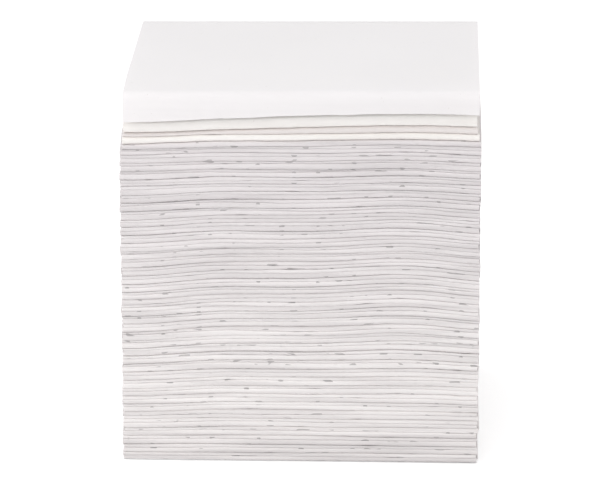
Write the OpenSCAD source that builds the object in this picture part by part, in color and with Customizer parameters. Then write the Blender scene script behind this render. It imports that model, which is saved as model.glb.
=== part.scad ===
// Interfolded toilet tissue: a pack of single sheets, each folded once across its
// middle and hooked into its neighbours, so that pulling one presents the next.
// X runs along the folds, the front face looks to -Y, and the pack stands on Z = 0.

/* [Sheet] */
// Width of a sheet, measured along its fold
sheet_w = 110; // [80:1:140]
// Pressed thickness of one two-ply sheet
sheet_t = 0.3; // [0.2:0.01:0.4]
// Air between two pressed panels
air_gap = 0.025; // [0.015:0.005:0.06]

/* [Pack] */
// Depth of the pack, from the front folds to the back folds
pack_d = 95; // [70:1:120]
// Number of folds on the front face
front_fold_count = 82; // [30:1:100]
// Uppermost front folds, which have sprung up out of the press
loose_fold_count = 12; // [6:1:16]

/* [Crown] */
// Rise of the middle of the top above its front edge
crown_h = 7; // [0:0.5:9]
// Depth of the rounded shoulder behind the front edge
front_shoulder = 10; // [10:1:30]
// Depth of the rounded shoulder before the back edge
back_shoulder = 8; // [6:1:20]
// Share of the rise that the back shoulder gives up
back_drop_share = 0.3; // [0:0.05:0.5]
// Extra height to which the uppermost front folds have opened
open_h = 3.5; // [0:0.5:5]
// How suddenly the folds open towards the top
open_power = 12; // [4:1:14]

/* [Hidden] */
// A pair of neighbouring sheets fills four panel layers; layer 0 lies on the ground.
slot = sheet_t + air_gap;
fold_count = round(front_fold_count);
loose_count = round(loose_fold_count);
pressed_count = fold_count - loose_count;
last_pressed_layer = 4 * pressed_count + 2;
top_layer = 4 * fold_count + 1;

// Below 1, this makes the shoulder steeper at its foot than at its head.
shoulder_bias = 0.7;
// The top panel hangs along an arc of an ellipse, cut short before it turns vertical.
hang_depth = 1.2 * front_shoulder;
hang_cut_share = 0.95;
// How suddenly the panels take up that hanging shape towards the top
hang_power = 8;
// Depth by which its free edge stands out in front of the folds
overhang = 0.6;
// Points along a shoulder and round a loose fold
shoulder_steps = 10;
fold_steps = 10;
// A cubic curve with handles of this share of its opening is close to a half circle.
handle_ratio = 2 / 3;

front_y = -pack_d / 2;
back_y = pack_d / 2;
shoulder_y = front_y + 2 * slot;
back_shoulder_y = back_y - 2 * slot;

$fn = 48;

// Loose sheets are numbered downwards: number 1 lies right under the top sheet.
LOOSE_FRONT = [for (i = [1:loose_count]) str("loose_front_sheet_", i)];
LOOSE_BACK = [for (i = [1:loose_count - 1]) str("loose_back_sheet_", i)];

// Rise of a shoulder, from 0 at its foot to 1 at its head
function shoulder(v) = v <= 0 ? 0 : v >= 1 ? 1 : pow(sin(90 * pow(v, shoulder_bias)), 2);

// Rise of the hanging top panel, from 0 at its free edge to 1 at its head
function hang(v) =
    let (foot = sqrt(1 - hang_cut_share))
    v >= 1 ? 1 : (sqrt(1 - hang_cut_share * pow(1 - v, 2)) - foot) / (1 - foot);

// What the back shoulder takes from the crown's rise at depth y
function back_loss(y) = back_drop_share * (1 - shoulder((back_shoulder_y - y) / back_shoulder));

// How far up the loose part a layer lies, from 0 where the press ends to 1 at the top
function looseness(layer) =
    max(0, (layer - last_pressed_layer) / (top_layer - last_pressed_layer));

// Share of the crown's rise that a layer has at depth y
function crown(layer, y) =
    let (
        lying = shoulder((y - shoulder_y) / front_shoulder),
        hanging = hang((y - front_y + overhang) / hang_depth)
    )
    lying + (hanging - lying) * pow(looseness(layer), hang_power) - back_loss(y);

// Height of a layer's middle surface at depth y
function layer_z(layer, y) =
    layer * slot + sheet_t / 2
    + open_h * pow(looseness(layer), open_power)
    + crown_h * pow(looseness(layer), 2) * crown(layer, y);

// Half the height of the fold that joins two layers
function fold_r(low, high) =
    ((high - low) * slot
    + open_h * (pow(looseness(high), open_power) - pow(looseness(low), open_power))) / 2;

// Layers that the sheets take: number k counts up from 0 at the bottom.
function front_low(k) = 4 * k + 1;
function front_high(k) = 4 * k + 4;
function back_low(k) = 4 * k + 3;
function back_high(k) = min(4 * k + 6, top_layer);

// Depths at which the panels turn into their folds
function front_turn(k) = front_y + fold_r(front_low(k), front_high(k));
function back_turn(k) = back_y - fold_r(back_low(k), back_high(k));

// Depths along one panel, close together on the two shoulders
function panel_ys(from, to) =
    let (
        a = shoulder_y + front_shoulder,
        b = back_shoulder_y - back_shoulder,
        front = [for (i = [0:shoulder_steps]) from + (a - from) * pow(i / shoulder_steps, 1.5)],
        back = [for (i = [0:shoulder_steps]) to + (b - to) * pow(1 - i / shoulder_steps, 1.5)]
    )
    concat(front, back);

function panel(layer, from, to) = [for (y = panel_ys(from, to)) [y, layer_z(layer, y)]];

function reversed(list) = [for (i = [len(list) - 1:-1:0]) list[i]];
function unit(v) = v / norm(v);

// Cubic curve from p to q, leaving p along u and reaching q against v
function bend(p, q, u, v) =
    let (handle = handle_ratio * norm(q - p), a = p + handle * u, b = q + handle * v)
    [for (i = [1:fold_steps - 1])
        let (t = i / fold_steps, s = 1 - t)
        s * s * s * p + 3 * s * s * t * a + 3 * s * t * t * b + t * t * t * q];

// One middle line: along the first panel, round the fold, back along the second
function folded_line(first, second) =
    let (
        n = len(first),
        u = unit(first[n - 1] - first[n - 2]),
        v = unit(second[0] - second[1])
    )
    concat(first, bend(first[n - 1], second[0], u, v), second);

// Direction across the line at its point i
function across(line, i) =
    let (
        a = line[max(i - 1, 0)],
        b = line[min(i + 1, len(line) - 1)],
        d = unit(b - a)
    )
    [-d[1], d[0]];

// Turns a drawing in (depth, height) into a solid that spans the width of the sheet
module across_width() {
    rotate([90, 0, 90])
        translate([0, 0, -sheet_w / 2])
            linear_extrude(sheet_w)
                children();
}

// A sheet of even thickness that follows a middle line
module sheet_along(line) {
    half = sheet_t / 2;
    above = [for (i = [0:len(line) - 1]) line[i] + half * across(line, i)];
    below = [for (i = [0:len(line) - 1]) line[i] - half * across(line, i)];
    across_width() polygon(concat(above, reversed(below)));
}

// Outline of everything inside radius r of a fold, back to the free edges
module fold_outline(r, run) {
    circle(r);
    translate([0, -r]) square([run, 2 * r]);
}

// A pressed sheet folded at depth 0 about a true half circle, opening towards +Y
module pressed_sheet(r, run) {
    outer = r + sheet_t / 2;
    inner = r - sheet_t / 2;
    across_width() difference() {
        fold_outline(outer, run);
        fold_outline(inner, run + outer);
    }
}

// Length of a pressed panel: it stops where the fold that wraps it begins
pressed_r = fold_r(0, 3);
pressed_run = pack_d - 2 * pressed_r - sheet_t;

module top_sheet() {
    k = fold_count - 1;
    color("white")
        sheet_along(folded_line(
            panel(back_low(k), front_turn(k) + sheet_t, back_turn(k)),
            reversed(panel(top_layer, front_y - overhang, back_turn(k)))));
}

module loose_front_sheet(k) {
    color("snow")
        sheet_along(folded_line(
            reversed(panel(front_low(k), front_turn(k), back_turn(k - 1) - sheet_t)),
            panel(front_high(k), front_turn(k), back_turn(k) - sheet_t)));
}

module loose_back_sheet(k) {
    color("ghostwhite")
        sheet_along(folded_line(
            panel(back_low(k), front_turn(k) + sheet_t, back_turn(k)),
            reversed(panel(back_high(k), front_turn(k + 1) + sheet_t, back_turn(k)))));
}

module pressed_front_sheets() {
    color("whitesmoke")
        for (k = [0:pressed_count - 1])
            translate([0, front_y + pressed_r, front_low(k) * slot + sheet_t / 2 + pressed_r])
                pressed_sheet(pressed_r, pressed_run);
}

module pressed_back_sheets() {
    color("ghostwhite")
        for (k = [0:pressed_count - 1])
            translate([0, back_y - pressed_r, back_low(k) * slot + sheet_t / 2 + pressed_r])
                rotate([0, 0, 180])
                    pressed_sheet(pressed_r, pressed_run);
}

// The lowest sheet is hooked round a single panel, so its fold is one layer lower.
module bottom_sheet() {
    r = fold_r(0, 2);
    color("white")
        translate([0, back_y - r, sheet_t / 2 + r])
            rotate([0, 0, 180])
                pressed_sheet(r, pack_d - r - pressed_r - sheet_t);
}

top_sheet();
for (i = [1:loose_count])
    loose_front_sheet(fold_count - i);
for (i = [1:loose_count - 1])
    loose_back_sheet(fold_count - 1 - i);
pressed_front_sheets();
pressed_back_sheets();
bottom_sheet();
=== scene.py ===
import math

import bpy
import numpy as np
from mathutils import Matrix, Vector


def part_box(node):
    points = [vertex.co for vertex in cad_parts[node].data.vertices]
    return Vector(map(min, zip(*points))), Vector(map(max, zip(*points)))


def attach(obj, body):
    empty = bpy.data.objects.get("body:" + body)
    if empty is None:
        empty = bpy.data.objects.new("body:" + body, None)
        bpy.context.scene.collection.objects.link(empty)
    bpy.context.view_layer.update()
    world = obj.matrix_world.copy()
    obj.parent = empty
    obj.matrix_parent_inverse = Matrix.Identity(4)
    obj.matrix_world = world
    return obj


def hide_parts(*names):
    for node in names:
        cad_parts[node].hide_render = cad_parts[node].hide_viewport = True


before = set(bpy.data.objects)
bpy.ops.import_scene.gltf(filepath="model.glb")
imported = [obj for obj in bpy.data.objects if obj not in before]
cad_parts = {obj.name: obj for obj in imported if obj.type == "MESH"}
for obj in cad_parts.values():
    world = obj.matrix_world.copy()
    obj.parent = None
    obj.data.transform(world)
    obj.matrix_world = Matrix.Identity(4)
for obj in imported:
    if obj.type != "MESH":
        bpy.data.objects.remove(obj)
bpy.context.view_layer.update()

bl_info = {
    "name": "Interfolded tissue pack",
    "version": (1, 0, 0),
    "blender": (4, 5, 0),
    "location": "View3D > Sidebar > Tissue",
    "description": "Folds and stacks the interleaved sheets of a toilet tissue pack and lights it",
    "category": "Object",
}

MM = 0.001
BODY = "root"
PAPER_MAP = "paper"
FACES = ("front", "back")

# The solids give the pack its size: the lowest two sheets lie two panels apart.
FRONT_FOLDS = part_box("pressed_front_sheets")
BACK_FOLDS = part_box("pressed_back_sheets")
SHEET_WIDTH = FRONT_FOLDS[1].x - FRONT_FOLDS[0].x
PANEL_PITCH = (BACK_FOLDS[0].z - FRONT_FOLDS[0].z) / 2
FRONT_Y = FRONT_FOLDS[0].y
BACK_Y = BACK_FOLDS[1].y
LOOSE_SHEETS = {
    side: sum(name.startswith(f"loose_{side}_sheet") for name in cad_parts)
    for side in FACES}

# A pair of neighbouring sheets fills four layers, and a fold reaches up over three.
LAYERS_PER_PAIR = 4
FOLD_SPAN = 3
FIRST_LAYER = {"front": 1, "back": 3}
BOTTOM_LAYERS = (0, 2)
# How suddenly the layers take up the crown, and the free edges draw back, towards the top
CROWN_POWER = 2
DRAWING_POWER = 3
# Share of the room between its neighbours that a squeezed panel may take
ROOM_SHARE = 0.93
# Usual turn of a sheet: how far it shifts along its fold for each unit of depth
USUAL_SKEW = 0.0015

# How the folds differ from end to end: lengths of wave, each with its share
LINE_WAVES = ((60 * MM, 0.85), (22 * MM, 0.45), (7 * MM, 0.2), (3 * MM, 0.12))
STAND_OUT_WAVES = ((24 * MM, 0.4), (6 * MM, 0.25), (2 * MM, 0.15))
SQUARENESS_WAVES = ((60 * MM, 0.5), (14 * MM, 0.25), (3 * MM, 0.12))

# How far the uppermost front fold lines lie above their even heights at the left and at the
# right, from the top down
SPRUNG_LINES = (
    (1.7 * MM, 4.0 * MM), (-1.75 * MM, 0.3 * MM), (-0.3 * MM, 0.05 * MM), (-1.3 * MM, -0.6 * MM),
    (-1.2 * MM, -0.5 * MM))
# Where across the width they turn from the one height to the other: start and run, as shares
SPRUNG_TURN = (0.1, 0.8)
# How far the fold lines below them lie lower to make room, and over how many lines this fades
SPRUNG_ROOM = 0.7 * MM
ROOM_LINES = 11
# Widths of the uppermost sheets as shares of the others', from the top down
SPRUNG_WIDTHS = (0.978, 0.983, 0.989, 0.995)
TOP_SHEET_WIDTH = 0.985
TOP_SHEET_SHIFT = 0.3 * MM
# Finishes of the uppermost sheets, from the top down. The second is darker, a painted shadow of the
# fold above it.
SPRUNG_FINISHES = ("sprung tissue", "shadowed tissue", "sprung tissue")
# How far the uppermost front folds stand out of the front face, from the top down: below 0
# they lie back behind it
SPRUNG_REACH = (-0.3 * MM, -1.6 * MM, -0.6 * MM)
# How square the lower and the upper corner of the uppermost front folds are, from the top down
SPRUNG_CORNERS = ((4.5, 1.3), (3.2, 1.8), (2.5, 3.0))
# Points of a panel from end to end, and points round its fold
PRESSED_STEPS = (2, 7)
LOOSE_STEPS = (22, 9)
# Bends sharper than this keep an edge in the shading.
SHARP_ANGLE = math.radians(40)
# Half the length of paper map left free between the two plies
PLY_GAP = 0.01


class SheetSettings(bpy.types.PropertyGroup):
    """One sheet of tissue."""

    width: bpy.props.FloatProperty(
        name="Width", description="Width of a sheet along its fold",
        default=SHEET_WIDTH, unit="LENGTH")
    flat_length: bpy.props.FloatProperty(
        name="Flat length", description="Length of a sheet before it is folded",
        default=0.190, unit="LENGTH")
    thickness: bpy.props.FloatProperty(
        name="Thickness", description="Pressed thickness of the two plies together",
        default=0.3 * MM, unit="LENGTH")
    stations: bpy.props.IntProperty(
        name="Stations", description="Cross sections along the fold", default=76)


class PackSettings(bpy.types.PropertyGroup):
    """How the sheets lie in the pack."""

    fold_count: bpy.props.IntProperty(
        name="Front folds", description="Number of folds on the front face", default=82)
    panel_pitch: bpy.props.FloatProperty(
        name="Panel pitch", description="Height from one pressed panel to the next",
        default=PANEL_PITCH, unit="LENGTH")
    opening: bpy.props.FloatProperty(
        name="Opening", description="Extra height to which the uppermost folds have sprung",
        default=3.5 * MM, unit="LENGTH")
    opening_power: bpy.props.FloatProperty(
        name="Opening power", description="How suddenly the folds open towards the top", default=12)
    crown: bpy.props.FloatProperty(
        name="Crown", description="Rise of the middle of the top above its front edge",
        default=8.8 * MM, unit="LENGTH")
    lean: bpy.props.FloatProperty(
        name="Lean", description="How much higher the top is at the right than at the left",
        default=0.9 * MM, unit="LENGTH")
    front_shoulder: bpy.props.FloatProperty(
        name="Front shoulder", description="Depth over which the crown rises behind the front",
        default=9 * MM, unit="LENGTH")
    fold_room: bpy.props.FloatProperty(
        name="Fold room", description="Depth of the front folds, which the crown leaves in place",
        default=3.2 * MM, unit="LENGTH")
    back_shoulder: bpy.props.FloatProperty(
        name="Back shoulder", description="Depth over which the crown falls towards the back",
        default=8 * MM, unit="LENGTH")
    back_drop: bpy.props.FloatProperty(
        name="Back drop", description="Share of the crown that the back shoulder gives up",
        default=0.3, subtype="FACTOR")
    overhang: bpy.props.FloatProperty(
        name="Overhang", description="How far the top sheet's free edge stands out in front",
        default=1.05 * MM, unit="LENGTH")
    hang: bpy.props.FloatProperty(
        name="Hang", description="How far the free edge hangs down over the uppermost fold",
        default=2.3 * MM, unit="LENGTH")
    drawn_back: bpy.props.FloatProperty(
        name="Drawn back", description="How far the uppermost free edges have left their folds",
        default=2.6 * MM, unit="LENGTH")
    middle_wave: bpy.props.FloatProperty(
        name="Middle wave", description="Height of the swell half way up the front",
        default=2.4 * MM, unit="LENGTH")
    upper_wave: bpy.props.FloatProperty(
        name="Upper wave", description="Height of the swell at the top of the front",
        default=1.05 * MM, unit="LENGTH")
    unevenness: bpy.props.FloatProperty(
        name="Unevenness", description="Usual departure of a fold line from its even place",
        default=0.2 * MM, unit="LENGTH")
    raggedness: bpy.props.FloatProperty(
        name="Raggedness", description="Usual difference in how far the folds stand out",
        default=0.19 * MM, unit="LENGTH")
    sideways: bpy.props.FloatProperty(
        name="Sideways", description="Usual shift of a sheet along its fold",
        default=0.18 * MM, unit="LENGTH")
    seed: bpy.props.IntProperty(
        name="Seed", description="Start of the random draws", default=7)


class PaperSettings(bpy.types.PropertyGroup):
    """The finish of the tissue."""

    # Painted shade: the pressed tissue is darker and pinker than the same paper on the top sheet,
    # for the shade in the creases of the front.
    pressed_colour: bpy.props.FloatVectorProperty(
        name="Pressed paper", description="Colour of the pressed tissue", subtype="COLOR",
        default=(0.789, 0.751, 0.758))
    # Painted shade: the upper pressed sheets are darker than this paler colour lower down, for the
    # deeper shade of their looser grooves.
    lower_pressed_colour: bpy.props.FloatVectorProperty(
        name="Lower pressed paper", description="Colour of the pressed tissue lower in the pack",
        subtype="COLOR", default=(0.899, 0.862, 0.854))
    # Painted light: brighter and creamier than the top sheet's paper, for the light on the
    # uppermost folds.
    sprung_colour: bpy.props.FloatVectorProperty(
        name="Sprung paper", description="Colour of the uppermost folds", subtype="COLOR",
        default=(0.985, 0.934, 0.900))
    # Painted shadow: the second fold is darker, for the shade that the uppermost fold casts on it.
    shadowed_colour: bpy.props.FloatVectorProperty(
        name="Shadowed paper", description="Colour of the second fold, painted darker for the shadow of the fold above it",
        subtype="COLOR", default=(0.840, 0.795, 0.782))
    top_colour: bpy.props.FloatVectorProperty(
        name="Top sheet", description="Colour of the top sheet", subtype="COLOR",
        default=(0.877, 0.852, 0.859))
    warm_colour: bpy.props.FloatVectorProperty(
        name="Warm paper", description="Colour where the tissue is creamier", subtype="COLOR",
        default=(0.935, 0.905, 0.875))
    fleck_colour: bpy.props.FloatVectorProperty(
        name="Flecks", description="Colour of the stray fibres in the pulp", subtype="COLOR",
        default=(0.55, 0.50, 0.47))
    grain: bpy.props.FloatProperty(
        name="Grain", description="Width of one crepe line", default=0.45 * MM, unit="LENGTH")
    glow: bpy.props.FloatProperty(
        name="Glow", description="Share of the light that passes through the thin tissue",
        default=0.5, subtype="FACTOR")
    glow_depth: bpy.props.FloatProperty(
        name="Glow depth", description="How far light spreads inside the tissue",
        default=0.4 * MM, unit="LENGTH")
    roughness: bpy.props.FloatProperty(
        name="Roughness", description="Roughness of the matt tissue", default=0.95,
        subtype="FACTOR")


class StudioSettings(bpy.types.PropertyGroup):
    """Floor, lamps and camera."""

    azimuth: bpy.props.FloatProperty(
        name="Azimuth", description="How far to the right of the front the camera stands",
        default=math.radians(1.98), unit="ROTATION")
    elevation: bpy.props.FloatProperty(
        name="Elevation", description="How far the camera looks down",
        default=math.radians(17), unit="ROTATION")
    distance: bpy.props.FloatProperty(
        name="Distance", description="From the camera to the point it looks at",
        default=1.265, unit="LENGTH")
    focal_length: bpy.props.FloatProperty(
        name="Focal length", description="Focal length of the lens in millimetres", default=238)
    aim: bpy.props.FloatVectorProperty(
        name="Aim", description="Point that the camera looks at", subtype="XYZ",
        unit="LENGTH", default=(-0.00165, 0, 0.0577))
    key_place: bpy.props.FloatVectorProperty(
        name="Key lamp place", description="From the aim to the soft lamp above", subtype="XYZ",
        unit="LENGTH", default=(-0.12, -0.52, 1.35))
    key_size: bpy.props.FloatProperty(
        name="Key lamp size", description="Width of the soft lamp above", default=1.2,
        unit="LENGTH")
    key_power: bpy.props.FloatProperty(
        name="Key lamp", description="Power of the soft lamp above and in front, in watts",
        default=3.7)
    front_place: bpy.props.FloatVectorProperty(
        name="Front lamp place", description="From the aim to the soft lamp in front",
        subtype="XYZ", unit="LENGTH", default=(-0.55, -0.62, 0.20))
    front_size: bpy.props.FloatProperty(
        name="Front lamp size", description="Width of the soft lamp in front", default=0.5,
        unit="LENGTH")
    front_power: bpy.props.FloatProperty(
        name="Front lamp", description="Power of the soft lamp in front, in watts", default=1.45)
    sky: bpy.props.FloatProperty(
        name="Sky", description="Strength of the even light from all round", default=0.80)
    floor_size: bpy.props.FloatProperty(
        name="Floor size", description="Width of the floor", default=6, unit="LENGTH")
    floor_colour: bpy.props.FloatVectorProperty(
        name="Floor", description="Colour of the floor", subtype="COLOR",
        default=(0.88, 0.88, 0.88))
    speck_colour: bpy.props.FloatVectorProperty(
        name="Floor specks", description="Colour of the faint specks in the floor",
        subtype="COLOR", default=(0.84, 0.84, 0.84))
    floor_lift: bpy.props.FloatProperty(
        name="Floor lift", description="Light added to the floor where it is seen", default=0.37)


def smooth(share):
    """An S curve from 0 to 1 as share goes from 0 to 1."""
    share = np.clip(share, 0, 1)
    return share * share * (3 - 2 * share)


def ramp(value, start, run):
    """An S curve from 0 where value is at start to 1 a run further on."""
    return smooth((value - start) / run)


def hump(places, middle, reach):
    """A soft hump of height 1 round the middle."""
    return np.exp(-((places - middle) / reach) ** 2)


def blend(front, back, share):
    """Between a value at the front face and one at the back face."""
    return front * (1 - share) + back * share


def layers_of(side, k):
    """The two layers that the panels of sheet k take, counted from 0 at each face."""
    low = LAYERS_PER_PAIR * k + FIRST_LAYER[side]
    return low, low + FOLD_SPAN


def square_round(share, squareness=3.5):
    """A squarish quarter turn: it leaves 0 upright and reaches 1 level."""
    return (1 - (1 - np.clip(share, 0, 1)) ** squareness) ** (1 / squareness)


def wander(chance, rows, places, scale, amount):
    """Random rows that change smoothly over the places, with a new value every scale."""
    count = int((places[-1] - places[0]) / scale) + 3
    values = chance.normal(0, amount, (rows, count))
    at = (places - places[0]) / scale + chance.random((rows, 1))
    left = at.astype(int)
    share = (1 - np.cos(np.pi * (at - left))) / 2
    return (np.take_along_axis(values, left, 1) * (1 - share)
            + np.take_along_axis(values, left + 1, 1) * share)


class Stack:
    """Where each panel of the pack lies. Layer 0 is on the ground, and layer j is the j-th
    panel above it. A pair of neighbouring sheets fills four layers. Boundary j is the height
    between layers j - 1 and j."""

    def __init__(self, scene):
        self.sheet = scene.tissue_sheet
        self.pack = pack = scene.tissue_pack
        self.chance = chance = np.random.default_rng(pack.seed)
        self.half_width = self.sheet.width / 2
        self.xs = np.linspace(-self.half_width, self.half_width, self.sheet.stations)
        pressed = pack.fold_count - LOOSE_SHEETS["front"]
        self.top_layer = LAYERS_PER_PAIR * pack.fold_count + 1
        self.last_pressed_layer = LAYERS_PER_PAIR * pressed + 2
        rows = pack.fold_count + 2
        self.shift = {side: self.fold_line_shift(rows) for side in FACES}
        self.stand_out = {side: self.fold_stand_out(rows) for side in FACES}
        self.parting = {side: self.crease_parting(rows) for side in FACES}
        self.squareness = {side: self.crease_squareness(rows) for side in FACES}
        self.side_shift = chance.normal(0, pack.sideways, 2 * rows)
        self.skew = chance.normal(0, USUAL_SKEW, 2 * rows)
        self.spring_up()

    def spring_up(self):
        """Moves the uppermost front folds to where they have sprung, and makes room for them."""
        top = self.pack.fold_count
        lines, stand_out = self.shift["front"], self.stand_out["front"]
        turned = ramp(self.along(), *SPRUNG_TURN)
        for number, (left, right) in enumerate(SPRUNG_LINES):
            lines[top - number] += left + (right - left) * turned
        for number in range(ROOM_LINES):
            lines[top - len(SPRUNG_LINES) - number] -= SPRUNG_ROOM * (1 - number / ROOM_LINES)
        for number, reach in enumerate(SPRUNG_REACH):
            stand_out[top - 1 - number] += reach

    def waves(self, rows, table, amount=1.0):
        """Random waves across the width, one row for each fold: the sum of a table's waves."""
        return sum(
            wander(self.chance, rows, self.xs, scale, amount * share) for scale, share in table)

    def fold_line_shift(self, rows):
        """How far each line between two folds wanders up or down across the width. The lowest
        few, which the ground holds, wander less."""
        own_share, most, held_lines = 0.5, 2.3, 3
        amount = self.pack.unevenness
        shift = self.waves(rows, LINE_WAVES, amount)
        shift += self.paired(rows) * amount + self.chance.normal(0, own_share * amount, (rows, 1))
        held = np.minimum(1, np.arange(rows) / held_lines)[:, None]
        return np.clip(shift, -most * amount, most * amount) * held

    def paired(self, rows):
        """Plus one and minus one in turn, fading now and then: the machine folds in pairs."""
        usual, run, change = 0.85, 9, 0.3
        ranks = np.arange(float(rows))
        steadiness = usual + wander(self.chance, 1, ranks, run, change)[0]
        return (np.where(ranks % 2, 1.0, -1.0) * steadiness)[:, None]

    def fold_stand_out(self, rows):
        """How far each fold stands out of the face across the width."""
        short_run, long_run = 4.5, 11
        deepest, furthest = 3, 2.5
        chance, amount = self.chance, self.pack.raggedness
        own_amount, pair_amount = 0.6 * amount, 0.4 * amount
        ranks = np.arange(float(rows))
        bulge = (wander(chance, 1, ranks, short_run, own_amount)
                 + wander(chance, 1, ranks, long_run, amount))
        own = bulge.T + chance.normal(0, own_amount, (rows, 1)) - pair_amount * self.paired(rows)
        fine = self.waves(rows, STAND_OUT_WAVES, amount)
        return np.clip(own + fine, -deepest * amount, furthest * amount)

    def crease_squareness(self, rows):
        """How tightly two neighbouring folds meet: below 2 they round away into a wide groove,
        and well above 2 they leave a fine line."""
        usual, spread, widest, finest = 3.4, 0.95, 1.8, 12
        drift = self.waves(rows, SQUARENESS_WAVES)
        return np.clip(usual * np.exp(spread * (self.paired(rows) + drift)), widest, finest)

    def corners(self, side, row):
        """Squareness of a fold's lower and upper corner at every station."""
        number = self.pack.fold_count - 1 - row
        if side == "front" and number < len(SPRUNG_CORNERS):
            return np.array(SPRUNG_CORNERS[number])[:, None] + np.zeros(len(self.xs))
        return self.squareness[side][row:row + 2]

    def crease_parting(self, rows):
        """Short places where two neighbouring folds have parted."""
        usual_count = 1.6
        reaches, gaps = (0.7, 2.0), (0.06, 0.22)
        chance = self.chance
        parting = np.zeros((rows, len(self.xs)))
        for row in range(rows):
            for _ in range(chance.poisson(usual_count)):
                middle = chance.uniform(-self.half_width, self.half_width)
                reach = chance.uniform(*reaches) * MM
                gap = chance.uniform(*gaps) * MM
                parting[row] += gap * hump(self.xs, middle, reach)
        return parting

    def along(self):
        """Place of every station across the width, from 0 at the left to 1 at the right."""
        return (self.xs + self.half_width) / (2 * self.half_width)

    def looseness(self, layer):
        """How far up the sprung part a layer lies, from 0 at the press to 1 at the top."""
        span = self.top_layer - self.last_pressed_layer
        return np.maximum(0, (layer - self.last_pressed_layer) / span)

    def level(self, boundary):
        """Height of a boundary before it waves."""
        pack = self.pack
        return (boundary * pack.panel_pitch
                + pack.opening * self.looseness(boundary - 0.5) ** pack.opening_power)

    def wave(self, side, height):
        """The long swell of the layers. On the front it has one hollow at the left and one hill
        right of the middle. On the back, which lies flat near the top, the hill is nearer to
        the left as seen from the front."""
        left_run, right_run = 0.32, 0.4
        front_hill, back_hill = (0.78, 0.17), (0.38, 0.25)
        hill_share, hill_growth, hill_end = 0.68, (0.08, 0.35), (0.9, 0.1)
        droop_share, droop = 0.15, (0.86, 0.14)
        back_share = 0.5
        along = self.along()
        share = height / self.level(self.top_layer)
        swell = self.swell(share)
        if side == "back":
            shape = ramp(1 - along, 0, right_run) + hump(along, *back_hill)
            top_third = smooth(3 * share - 2)
            return back_share * swell * shape * (1 - top_third)
        hill = hill_share * ramp(share, *hill_growth) * (1 - ramp(share, *hill_end))
        shape = (ramp(along, 0, left_run) + hill * hump(along, *front_hill)
                 - droop_share * ramp(along, *droop))
        return swell * shape

    def swell(self, share):
        """Height of the swell at a share of the pack's height: most half way up."""
        most_at, fade = 0.52, 0.43
        middle, upper = self.pack.middle_wave, self.pack.upper_wave
        return (middle * math.sin(math.pi / 2 * min(1, share / most_at))
                - (middle - upper) * ramp(share, most_at, fade))

    def boundary(self, side, number):
        """Height of a boundary on one face of the pack, at every station."""
        at = np.clip((number - FIRST_LAYER[side]) / LAYERS_PER_PAIR, 0, self.pack.fold_count)
        low = int(at)
        rows = self.shift[side]
        shift = rows[low] + (rows[low + 1] - rows[low]) * (at - low)
        level = self.level(number)
        return level + (shift + self.wave(side, level)) * min(1, number)

    def crown_share(self, layer, y):
        """Share of the crown's rise at depth y. The uppermost layers rise more steeply."""
        steep_share, steep_power = 0.6, 8
        pack = self.pack
        inside = y - FRONT_Y - pack.fold_room
        lying = smooth(inside / pack.front_shoulder)
        steep = smooth(inside / (steep_share * pack.front_shoulder))
        lost = pack.back_drop * (1 - smooth((BACK_Y - pack.panel_pitch - y) / pack.back_shoulder))
        return lying + (steep - lying) * self.looseness(layer) ** steep_power - lost

    def bed(self, layer, ys):
        """Middle heights and thicknesses of a layer before the crown lifts it: arrays of
        station by depth. Where its room is squeezed, it is thinner."""
        share = ((ys - FRONT_Y) / (BACK_Y - FRONT_Y))[None, :]
        low, high = (
            blend(*(self.boundary(side, number)[:, None] for side in FACES), share)
            for number in (layer, layer + 1))
        thickness = np.minimum(self.sheet.thickness, ROOM_SHARE * (high - low))
        seat = blend(*(self.seat(side, layer) for side in FACES), share)
        return low + thickness / 2 + seat * (high - low - thickness), thickness

    def seat(self, side, layer):
        """Where a panel lies between its two boundaries, from 0 at the lower one to 1 at the
        upper one. An open fold reaches from the sheet below it to the sheet above it."""
        lower_panel, wrapped_panel, upper_panel = 0.1, 0.5, 0.9
        place = (layer - FIRST_LAYER[side]) % LAYERS_PER_PAIR
        return {0: lower_panel, FOLD_SPAN: upper_panel}.get(place, wrapped_panel)

    def panel(self, layer, ys):
        """Middle heights and thicknesses of a layer. The crown lifts it towards one level at
        every station. Where it runs steeply it is thinner, to leave its neighbours their room."""
        heights, thickness = self.bed(layer, ys)
        lift = self.looseness(layer) ** CROWN_POWER * self.crown_share(layer, ys)[None, :]
        head = self.level(layer + 0.5) + self.crown_rise()
        heights = heights + lift * (head[:, None] - heights)
        slope = np.gradient(heights, ys, axis=1)
        return heights, thickness / np.sqrt(1 + slope ** 2)

    def crown_rise(self):
        """Height of the crown above the front edge, at every station."""
        return self.pack.crown + self.pack.lean * self.along()


def depths(start, end, steps):
    """Depths along a panel from start to end, most of them on the two shoulders."""
    front_end, back_end = 12 * MM, 10 * MM
    front_points, back_points = 0.5, 0.6
    front, back = min(start, end), max(start, end)
    ys = np.interp(
        np.linspace(0, 1, steps), (0, front_points, back_points, 1),
        (front, front + front_end, back - back_end, back))
    return ys if start < end else ys[::-1]


def fold_round(low, high, heading, reach, squareness, steps):
    """Points of a fold between two panel ends: low and high are (station, 2) points in depth
    and height, heading is -1 for a fold at the front, and reach is how far it bulges. Its
    lower and upper corner each have their own squareness at every station."""
    turns = np.linspace(0, np.pi, steps + 2)[None, 1:-1]
    power = 2 / np.where(turns < np.pi / 2, squareness[0][:, None], squareness[1][:, None])
    up = (1 - np.sign(np.cos(turns)) * np.abs(np.cos(turns)) ** power) / 2
    out = np.sin(turns) ** power
    points = low[:, None, :] + (high - low)[:, None, :] * up[:, :, None]
    points[:, :, 0] += heading * reach[:, None] * out
    return points


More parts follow.
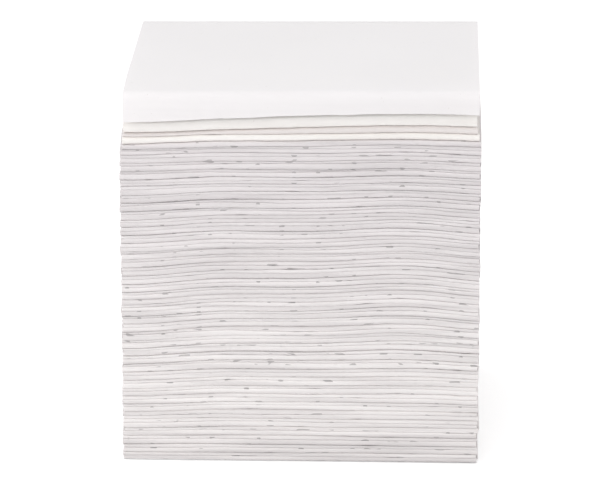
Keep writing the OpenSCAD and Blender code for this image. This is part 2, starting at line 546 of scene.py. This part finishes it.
def across(lines):
    """Unit direction across each middle line, at each of its points."""
    ahead = np.concatenate([lines[:, 1:], lines[:, -1:]], 1)
    behind = np.concatenate([lines[:, :1], lines[:, :-1]], 1)
    along = ahead - behind
    along /= np.linalg.norm(along, axis=2, keepdims=True)
    return np.stack([-along[:, :, 1], along[:, :, 0]], 2)


def sheet_mesh(name, xs, lines, thickness):
    """A closed sheet that follows a middle line (depth and height) at every station."""
    stations, points = lines.shape[:2]
    side = across(lines) * thickness[:, :, None] / 2
    ring = np.concatenate([lines + side, (lines - side)[:, ::-1]], 1)
    count = 2 * points
    x = np.concatenate([xs, xs[:, ::-1]], 1)
    vertices = np.concatenate([x[:, :, None], ring], 2)

    first = np.arange(count)
    after = np.roll(first, -1)
    strip = np.stack([first, first + count, after + count, after], 1)
    strips = (strip[None] + (np.arange(stations - 1) * count)[:, None, None]).reshape(-1, 4)
    inner = count - 1 - np.arange(points)
    cap = np.stack([np.arange(points - 1), np.arange(1, points), inner[1:], inner[:-1]], 1)
    faces = np.concatenate([strips, cap, cap[:, ::-1] + (stations - 1) * count])

    mesh = bpy.data.meshes.new(name)
    mesh.from_pydata(vertices.reshape(-1, 3), [], faces.tolist())
    lay_paper_map(mesh, vertices, lines, faces)
    mesh.polygons.foreach_set("use_smooth", np.ones(len(faces), bool))
    mesh.set_sharp_from_angle(angle=SHARP_ANGLE)
    mesh.update()
    return mesh


def lay_paper_map(mesh, vertices, lines, faces):
    """A map in metres on the flat sheet: across its width, and along its length. The second
    ply has its own stretch of the map."""
    lengths = np.linalg.norm(np.diff(lines, axis=1), axis=2)
    run = np.concatenate([np.zeros((len(lines), 1)), np.cumsum(lengths, 1)], 1)
    far = run[:, -1:] + PLY_GAP
    place = np.stack([
        vertices[:, :, 0],
        np.concatenate([run, (2 * far - run)[:, ::-1]], 1)], 2).reshape(-1, 2)
    layer = mesh.uv_layers.new(name=PAPER_MAP)
    layer.data.foreach_set("uv", place[faces.reshape(-1)].astype(np.float32).reshape(-1))


def add_sheet(scene, name, mesh, finish_name, rests_on, *nodes):
    """Puts a finished sheet in the scene in place of a solid in each of the nodes."""
    sheet = bpy.data.objects.new(name, mesh)
    scene.collection.objects.link(sheet)
    mesh.materials.append(kept_finish(scene, finish_name))
    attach(sheet, BODY)
    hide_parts(*nodes)


def panel_points(ys, heights):
    """Points in depth and height of a panel at every station."""
    return np.stack([np.broadcast_to(ys, heights.shape), heights], 2)


def folded_sheet(stack, side, layers, row, steps):
    """Middle lines and thicknesses of a sheet folded at the front or the back face."""
    end_room = 2.1
    low_layer, high_layer = layers
    panel_steps, fold_steps = steps
    paper = stack.sheet.thickness
    heading, face, other = (-1, FRONT_Y, BACK_Y) if side == "front" else (1, BACK_Y, FRONT_Y)
    rise = stack.boundary(side, high_layer + 1) - stack.boundary(side, low_layer)
    half_fold = rise.mean() / 2
    stand_out = stack.stand_out[side][row]
    turn = face - heading * (half_fold - stand_out.mean())
    drawn_back = stack.pack.drawn_back * stack.looseness(high_layer) ** DRAWING_POWER
    end = other + heading * (end_room * stack.pack.panel_pitch + paper + drawn_back)
    ys = depths(end, turn, panel_steps)
    low, low_thickness = stack.panel(low_layer, ys)
    high, high_thickness = stack.panel(high_layer, ys)
    parting = stack.parting[side]
    low[:, -1] += parting[row] / 2
    high[:, -1] -= parting[row + 1] / 2
    first, second = panel_points(ys, low), panel_points(ys, high)
    reach = half_fold - paper / 2 + stand_out - stand_out.mean()
    corners = stack.corners(side, row)
    bend = fold_round(first[:, -1], second[:, -1], heading, reach, corners, fold_steps)
    lines = np.concatenate([first, bend, second[:, ::-1]], 1)
    fold_thickness = np.repeat(low_thickness[:, -1:], fold_steps, 1)
    thickness = np.concatenate([low_thickness, fold_thickness, high_thickness[:, ::-1]], 1)
    if side == "front":
        return lines, thickness
    return lines[:, ::-1], thickness[:, ::-1]


def top_sheet_lines(stack):
    """Middle lines of the top sheet. Its lower panel lies under the uppermost fold, and its
    upper panel is the top of the pack and hangs down at the front."""
    under_steps, over_steps, fold_steps = 20, 60, 9
    crowding = 2.2
    corner_squareness = 2.2
    upright, rounding = 4 * MM, 20 * MM
    upright_share, rounding_share = 0.9, 0.1
    pack = stack.pack
    under_layer, _ = layers_of("back", pack.fold_count - 1)
    half_fold = (stack.level(stack.top_layer + 1) - stack.level(under_layer)) / 2
    turn = BACK_Y - half_fold
    under_ys = depths(FRONT_Y + half_fold, turn, under_steps)
    under, _ = stack.panel(under_layer, under_ys)

    free_edge = FRONT_Y - pack.overhang
    ys = free_edge + (turn - free_edge) * np.linspace(0, 1, over_steps) ** crowding
    over, _ = stack.bed(stack.top_layer, ys)
    over -= pack.hang
    hang = (upright_share * square_round((ys - free_edge) / upright)
            + rounding_share * smooth((ys - free_edge) / rounding))
    fall = pack.back_drop * (1 - smooth((turn - ys) / pack.back_shoulder))
    head = (stack.level(stack.top_layer + 0.5) + stack.crown_rise())[:, None]
    over = over + (head - over) * (hang - fall)[None, :]

    first, second = panel_points(under_ys, under), panel_points(ys, over)
    reach = np.full(len(stack.xs), half_fold - stack.sheet.thickness / 2)
    corners = np.full((2, len(stack.xs)), corner_squareness)
    bend = fold_round(first[:, -1], second[:, -1], 1, reach, corners, fold_steps)
    return np.concatenate([first, bend, second[:, ::-1]], 1)[:, ::-1]


def sheet_xs(stack, index, lines, width=1.0):
    """The sheet's own place along the fold: a small shift, and a small turn over its depth."""
    shift = stack.side_shift[index] + stack.skew[index] * lines[:, :, 0]
    return width * stack.xs[:, None] + shift


def sheet_name(side, k):
    """Name of sheet k of a face. The bottom sheet lies below the first one."""
    return f"{side}_sheet_{k + 1:02d}" if k >= 0 else "bottom_sheet_folded"


def lay_sheet(scene, stack, side, k, node, finish_name, steps, width=1.0):
    """Folds sheet k of a face and lays it on the sheet below it."""
    lines, thickness = folded_sheet(stack, side, layers_of(side, k), k, steps)
    if side == "front":
        index, below = k, sheet_name("back", k - 1)
    else:
        index, below = stack.pack.fold_count + k, sheet_name("front", k)
    name = sheet_name(side, k)
    mesh = sheet_mesh(name, sheet_xs(stack, index, lines, width), lines, thickness)
    add_sheet(scene, name, mesh, finish_name, [below], node)


def loose_finish(number):
    """Name of a loose sheet's finish. Number 1 is the uppermost."""
    return SPRUNG_FINISHES[number - 1] if number <= len(SPRUNG_FINISHES) else "pressed tissue"


def sprung_width(number):
    """Width of a loose sheet as a share of a pressed one's. Number 1 is the uppermost."""
    return SPRUNG_WIDTHS[number - 1] if number <= len(SPRUNG_WIDTHS) else 1.0


class Value:
    """A number that varies over a surface, with arithmetic that adds Math nodes."""

    def __init__(self, nodes, socket):
        self.nodes = nodes
        self.socket = socket

    def maths(self, operation, first, second):
        """The result of a Math node on two numbers."""
        node = self.nodes.add("ShaderNodeMath", {"operation": operation}, {0: first, 1: second})
        return Value(self.nodes, node.outputs[0])

    def __add__(self, other):
        return self.maths("ADD", self, other)

    def __sub__(self, other):
        return self.maths("SUBTRACT", self, other)

    def __mul__(self, other):
        return self.maths("MULTIPLY", self, other)

    def __rsub__(self, other):
        return self.maths("SUBTRACT", other, self)

    __radd__ = __add__
    __rmul__ = __mul__


class Nodes:
    """The nodes of a material or of the world, which all come from one method."""

    def __init__(self, owner):
        owner.use_nodes = True
        self.tree = owner.node_tree
        self.tree.nodes.clear()

    def add(self, kind, settings=None, inputs=None):
        """Adds a node: its settings first, then the values or links of its sockets."""
        node = self.tree.nodes.new(kind)
        for name, value in (settings or {}).items():
            setattr(node, name, value)
        for key, value in (inputs or {}).items():
            if isinstance(value, Value):
                value = value.socket
            if isinstance(value, bpy.types.NodeSocket):
                self.tree.links.new(value, node.inputs[key])
            else:
                node.inputs[key].default_value = value
        return node

    def noise(self, where, scale, detail=2.0, stretch=(1, 1, 1), offset=(0, 0, 0)):
        """Noise with scale features a metre, stretched along the axes, from 0 to 1."""
        placed = self.add("ShaderNodeMapping", None, {
            "Vector": where, "Location": offset, "Scale": [scale * s for s in stretch]})
        node = self.add("ShaderNodeTexNoise", {"noise_dimensions": "3D"}, {
            "Vector": placed.outputs["Vector"], "Scale": 1.0, "Detail": detail})
        return Value(self, node.outputs["Fac"])

    def between(self, value, low, high):
        """0 where value is below low, 1 where it is above high, smooth in between."""
        node = self.add("ShaderNodeMapRange", {"interpolation_type": "SMOOTHSTEP"}, {
            "Value": value, "From Min": low, "From Max": high})
        return Value(self, node.outputs["Result"])

    def mix(self, share, first, second):
        """A colour between two others."""
        factor, one, other, result = 0, 6, 7, 2
        node = self.add("ShaderNodeMix", {"data_type": "RGBA"}, {
            factor: share, one: first, other: second})
        return node.outputs[result]

    def seen(self):
        """1 for light that goes to the camera, to a mirror or through glass, 0 for other."""
        rays = self.add("ShaderNodeLightPath").outputs
        seen = Value(self, rays["Is Camera Ray"])
        for kind in ("Is Glossy Ray", "Is Transmission Ray"):
            seen = seen + Value(self, rays[kind])
        return seen


class Finish(Nodes):
    """One material and the nodes in it."""

    def __init__(self, name):
        self.material = bpy.data.materials.new(name)
        super().__init__(self.material)


def solid_colour(colour, brightness=1.0):
    """A colour with its alpha, at a share of its brightness."""
    return tuple(min(1.0, c * brightness) for c in colour) + (1.0,)


def painted_gap_shadows(finish, sheet, body):
    """Painted shadows: short dark places beside a fold, for the shade where two neighbouring folds
    have parted a little. On the paper map the fold is a line at the middle of the sheet's length."""
    middle, inner, outer, soft = 94.8 * MM, 0.5 * MM, 0.92 * MM, 1.15
    none, full = 0.68, 0.72
    along = finish.add("ShaderNodeSeparateXYZ", None, {"Vector": sheet}).outputs["Y"]
    off = Value(finish, along) - middle
    square = off * off
    band = (finish.between(square, inner ** 2, (soft * inner) ** 2)
            - finish.between(square, outer ** 2, (soft * outer) ** 2))
    places = finish.noise(body, scale=800, detail=0.0, stretch=(0.34, 0, 1))
    return band * finish.between(places, none, full)


def tissue_finish(scene, name, base, low_base, warmth, unevenness, gap_shadow_share, relief):
    """Two-ply creped tissue: soft crepe lines, felt of fibres, faint clouds and flecks. Lower in
    the pack its colour turns into low_base; for the pressed tissue the darker base higher up is
    painted shade. The foot of the pack is painted darker, a painted shade where it meets the floor,
    and the gaps beside the folds carry painted shadows."""
    upper_shade_start, upper_shade_full = 15 * MM, 100 * MM
    foot_shade_full_below, foot_shade_gone_above = 5 * MM, 13 * MM
    cloud_share, layer_share = 0.55, 0.45
    warm_share, shade_share, fleck_share, foot_shade_share = 0.3, 0.03, 0.35, 0.2
    shaded, toned_and_shaded, gap_shadow_brightness = 0.80, 0.70, 0.30
    crepe_height, felt_height, dent_height = 0.6, 0.25, 0.8
    relief_depth = 0.12 * MM
    felt_fineness, felt_gloss = 2.6, 0.12
    paper = scene.tissue_paper
    finish = Finish(name)
    sheet = finish.add("ShaderNodeUVMap", {"uv_map": PAPER_MAP}).outputs["UV"]
    body = finish.add("ShaderNodeTexCoord").outputs["Object"]

    crepe = finish.noise(sheet, scale=1 / paper.grain, detail=3.0, stretch=(0.12, 1, 1))
    felt = finish.noise(sheet, scale=felt_fineness / paper.grain)
    dents = finish.noise(body, scale=140, stretch=(1, 1, 2.2))
    clouds = finish.noise(body, scale=38, detail=3.0, stretch=(1, 1, 2.5))
    layers = finish.noise(body, scale=60, stretch=(0.3, 0.3, 12), offset=(3, 1, 2))
    fibres = finish.noise(sheet, scale=900, detail=1.0, offset=(7, 3, 1))
    flecks = finish.between(fibres, low=0.76, high=0.80)

    height = Value(finish, finish.add("ShaderNodeSeparateXYZ", None, {"Vector": body}).outputs["Z"])
    # Painted shade: the pressed tissue darkens from low_base below to base above, for the shade of
    # the looser upper grooves.
    upper_shade = finish.between(height, upper_shade_start, upper_shade_full)
    colour = finish.mix(upper_shade, solid_colour(low_base), solid_colour(base))
    warm_places = clouds * cloud_share + layers * layer_share
    warm = finish.between(warm_places, low=0.62 - warmth, high=0.86 - warmth)
    colour = finish.mix(warm * warm_share, colour, solid_colour(paper.warm_colour))
    shade = finish.between(clouds * 0.5 + crepe * 0.5, low=0.3, high=0.75)
    colour = finish.mix(shade * shade_share, colour, solid_colour(base, shaded))
    colour = finish.mix(flecks * fleck_share, colour, solid_colour(paper.fleck_colour))

    bands = finish.noise(body, scale=620, detail=0.0, stretch=(0.04, 0.04, 1))
    tone = finish.between(bands, low=0.3, high=0.7)
    # Painted shade at the foot of the pack, where it meets the floor; the tone bands are the
    # paper's own.
    foot_shade = 1 - finish.between(height, foot_shade_full_below, foot_shade_gone_above)
    tone_and_foot_shade = tone * unevenness + foot_shade * foot_shade_share
    colour = finish.mix(tone_and_foot_shade, colour, solid_colour(base, toned_and_shaded))

    # Painted shadows in the gaps where neighbouring folds have parted.
    gap_shadows = painted_gap_shadows(finish, sheet, body)
    colour = finish.mix(gap_shadows * gap_shadow_share, colour, solid_colour(base, gap_shadow_brightness))

    relief_height = crepe * crepe_height + felt * felt_height + dents * dent_height
    bump = finish.add("ShaderNodeBump", None, {
        "Strength": relief, "Distance": relief_depth, "Height": relief_height})
    shader = finish.add("ShaderNodeBsdfPrincipled", None, {
        "Base Color": colour,
        "Roughness": paper.roughness - felt * felt_gloss,
        "Specular IOR Level": 0.15,
        "Subsurface Weight": paper.glow,
        "Subsurface Radius": (1, 1, 1),
        "Subsurface Scale": paper.glow_depth,
        "Sheen Weight": 0.12,
        "Sheen Roughness": 0.6,
        "Normal": bump.outputs["Normal"]})
    finish.add("ShaderNodeOutputMaterial", None, {"Surface": shader.outputs["BSDF"]})
    return finish.material


def kept_finish(scene, name):
    """The finish of that name, made the first time it is asked for."""
    found = bpy.data.materials.get(name)
    if found:
        return found
    paper = scene.tissue_paper
    # One paper in four copies: the pressed and shadowed finishes are darker, painted shade and
    # painted shadow, and the sprung finish is brighter, painted light.
    looks = {
        "pressed tissue": {
            "base": paper.pressed_colour, "low_base": paper.lower_pressed_colour, "warmth": 0.0,
            "unevenness": 0.32, "gap_shadow_share": 0.55, "relief": 0.35},
        "sprung tissue": {
            "base": paper.sprung_colour, "low_base": paper.sprung_colour, "warmth": 0.12,
            "unevenness": 0.15, "gap_shadow_share": 0, "relief": 0.45},
        "shadowed tissue": {
            "base": paper.shadowed_colour, "low_base": paper.shadowed_colour, "warmth": 0.06,
            "unevenness": 0.2, "gap_shadow_share": 0, "relief": 0.45},
        "top tissue": {
            "base": paper.top_colour, "low_base": paper.top_colour, "warmth": 0.0,
            "unevenness": 0.04, "gap_shadow_share": 0, "relief": 0.45},
    }
    return tissue_finish(scene, name, **looks[name])


class TISSUE_OT_pressed_sheets(bpy.types.Operator):
    """Fold and interleave the sheets that are still pressed flat."""

    bl_idname = "tissue.pressed_sheets"
    bl_label = "Pressed sheets"

    def execute(self, context):
        scene = context.scene
        stack = Stack(scene)
        for k in range(scene.tissue_pack.fold_count - LOOSE_SHEETS["front"]):
            for side in FACES:
                lay_sheet(scene, stack, side, k, f"pressed_{side}_sheets", "pressed tissue",
                          PRESSED_STEPS)
        return {"FINISHED"}


class TISSUE_OT_bottom_sheet(bpy.types.Operator):
    """Fold the lowest sheet, which the pack stands on."""

    bl_idname = "tissue.bottom_sheet"
    bl_label = "Bottom sheet"

    def execute(self, context):
        scene = context.scene
        stack = Stack(scene)
        name = sheet_name("back", -1)
        lines, thickness = folded_sheet(stack, "back", BOTTOM_LAYERS, 0, PRESSED_STEPS)
        mesh = sheet_mesh(name, sheet_xs(stack, 0, lines), lines, thickness)
        add_sheet(scene, name, mesh, "pressed tissue", [], "bottom_sheet")
        return {"FINISHED"}


class TISSUE_OT_loose_sheets(bpy.types.Operator):
    """Fold the uppermost sheets, which have sprung up out of the press."""

    bl_idname = "tissue.loose_sheets"
    bl_label = "Loose sheets"

    def execute(self, context):
        scene = context.scene
        stack = Stack(scene)
        count = scene.tissue_pack.fold_count
        # The top sheet takes the uppermost place at the back.
        uppermost = {"front": count, "back": count - 1}
        for side in FACES:
            for number in range(1, LOOSE_SHEETS[side] + 1):
                lay_sheet(scene, stack, side, uppermost[side] - number,
                          f"loose_{side}_sheet_{number}", loose_finish(number), LOOSE_STEPS,
                          sprung_width(number))
        return {"FINISHED"}


class TISSUE_OT_top_sheet(bpy.types.Operator):
    """Fold the top sheet, whose upper panel is the top of the pack and hangs at the front."""

    bl_idname = "tissue.top_sheet"
    bl_label = "Top sheet"

    def execute(self, context):
        scene = context.scene
        stack = Stack(scene)
        lines = top_sheet_lines(stack)
        thickness = np.full(lines.shape[:2], stack.sheet.thickness)
        xs = TOP_SHEET_WIDTH * stack.xs + TOP_SHEET_SHIFT
        name = "top_sheet_folded"
        mesh = sheet_mesh(name, xs[:, None] + np.zeros(lines.shape[:2]), lines, thickness)
        below = sheet_name("front", scene.tissue_pack.fold_count - 1)
        add_sheet(scene, name, mesh, "top tissue", [below], "top_sheet")
        return {"FINISHED"}


class TISSUE_OT_studio(bpy.types.Operator):
    """Lay the floor, hang the lamps and set up the camera."""

    bl_idname = "tissue.studio"
    bl_label = "Studio"

    def execute(self, context):
        scene = context.scene
        studio = scene.tissue_studio
        aim = Vector(studio.aim)
        self.lay_floor(studio)
        self.light_world(scene, studio.sky)
        self.hang_lamp(scene, "key lamp", aim, studio.key_place, studio.key_size,
                       studio.key_power)
        self.hang_lamp(scene, "front lamp", aim, studio.front_place, studio.front_size,
                       studio.front_power)
        self.place_camera(scene, studio, aim)
        return {"FINISHED"}

    def lay_floor(self, studio):
        """A pale floor, lifted to white where it is seen, which keeps the pack's shadow."""
        speck_share = 0.1
        bpy.ops.object.select_all(action="DESELECT")
        bpy.ops.mesh.primitive_plane_add(size=studio.floor_size, location=(0, 0, 0))
        floor = bpy.context.object
        floor.name = "floor"
        finish = Finish("floor")
        seen = finish.seen()
        body = finish.add("ShaderNodeTexCoord").outputs["Object"]
        specks = finish.noise(body, scale=90, detail=3.0)
        diffuse = finish.add("ShaderNodeBsdfDiffuse", None, {
            "Color": finish.mix(specks * speck_share, solid_colour(studio.floor_colour),
                                solid_colour(studio.speck_colour))})
        lift = finish.add("ShaderNodeEmission", None, {
            "Color": (1, 1, 1, 1), "Strength": seen * studio.floor_lift})
        both = finish.add("ShaderNodeAddShader", None, {
            0: diffuse.outputs[0], 1: lift.outputs[0]})
        finish.add("ShaderNodeOutputMaterial", None, {"Surface": both.outputs[0]})
        floor.data.materials.append(finish.material)

    def light_world(self, scene, strength):
        """Even light from all round, and a white backdrop where the world itself is seen."""
        world = bpy.data.worlds.new("studio")
        scene.world = world
        nodes = Nodes(world)
        rays = nodes.add("ShaderNodeLightPath").outputs
        seen = nodes.add("ShaderNodeMath", {"operation": "MAXIMUM"}, {
            0: rays["Is Camera Ray"], 1: rays["Is Glossy Ray"]})
        light, backdrop = (
            nodes.add("ShaderNodeBackground", None, {"Color": (1, 1, 1, 1), "Strength": level})
            for level in (strength, 1.0))
        mix = nodes.add("ShaderNodeMixShader", None, {
            0: seen.outputs[0], 1: light.outputs[0], 2: backdrop.outputs[0]})
        nodes.add("ShaderNodeOutputWorld", None, {"Surface": mix.outputs[0]})

    def hang_lamp(self, scene, name, aim, place, size, power):
        """A soft round lamp at a place beside the aim, turned towards it."""
        away = Vector(place)
        data = bpy.data.lights.new(name, "AREA")
        data.shape = "DISK"
        data.size = size
        data.energy = power
        lamp = bpy.data.objects.new(name, data)
        scene.collection.objects.link(lamp)
        lamp.location = aim + away
        lamp.rotation_euler = (-away).to_track_quat("-Z", "Y").to_euler()

    def place_camera(self, scene, studio, aim):
        """A camera at its distance from the aim, turned towards it."""
        data = bpy.data.cameras.new("camera")
        data.lens = studio.focal_length
        data.clip_start = 0.01
        data.clip_end = 50
        camera = bpy.data.objects.new("camera", data)
        scene.collection.objects.link(camera)
        away = Vector((
            math.sin(studio.azimuth) * math.cos(studio.elevation),
            -math.cos(studio.azimuth) * math.cos(studio.elevation),
            math.sin(studio.elevation)))
        camera.location = aim + away * studio.distance
        camera.rotation_euler = (-away).to_track_quat("-Z", "Y").to_euler()
        scene.camera = camera
        scene.view_settings.view_transform = "Standard"


class TISSUE_PT_panel(bpy.types.Panel):
    """Buttons for the pieces of the pack, in the order in which they are made."""

    bl_idname = "TISSUE_PT_panel"
    bl_label = "Tissue pack"
    bl_space_type = "VIEW_3D"
    bl_region_type = "UI"
    bl_category = "Tissue"

    def draw(self, context):
        for group, settings in SETTINGS.items():
            box = self.layout.box()
            for name in settings.__annotations__:
                box.prop(getattr(context.scene, group), name)
        for operator in OPERATORS:
            self.layout.operator(operator.bl_idname)


SETTINGS = {
    "tissue_sheet": SheetSettings,
    "tissue_pack": PackSettings,
    "tissue_paper": PaperSettings,
    "tissue_studio": StudioSettings,
}
OPERATORS = (
    TISSUE_OT_bottom_sheet,
    TISSUE_OT_pressed_sheets,
    TISSUE_OT_loose_sheets,
    TISSUE_OT_top_sheet,
    TISSUE_OT_studio,
)


def register():
    for settings in SETTINGS.values():
        bpy.utils.register_class(settings)
    for cls in (*OPERATORS, TISSUE_PT_panel):
        bpy.utils.register_class(cls)
    for name, settings in SETTINGS.items():
        setattr(bpy.types.Scene, name, bpy.props.PointerProperty(type=settings))


def unregister():
    for name in SETTINGS:
        delattr(bpy.types.Scene, name)
    for cls in (TISSUE_PT_panel, *reversed(OPERATORS), *reversed(SETTINGS.values())):
        bpy.utils.unregister_class(cls)


def main():
    register()
    for operator in OPERATORS:
        group, name = operator.bl_idname.split(".")
        getattr(getattr(bpy.ops, group), name)()


if __name__ == "__main__":
    main()
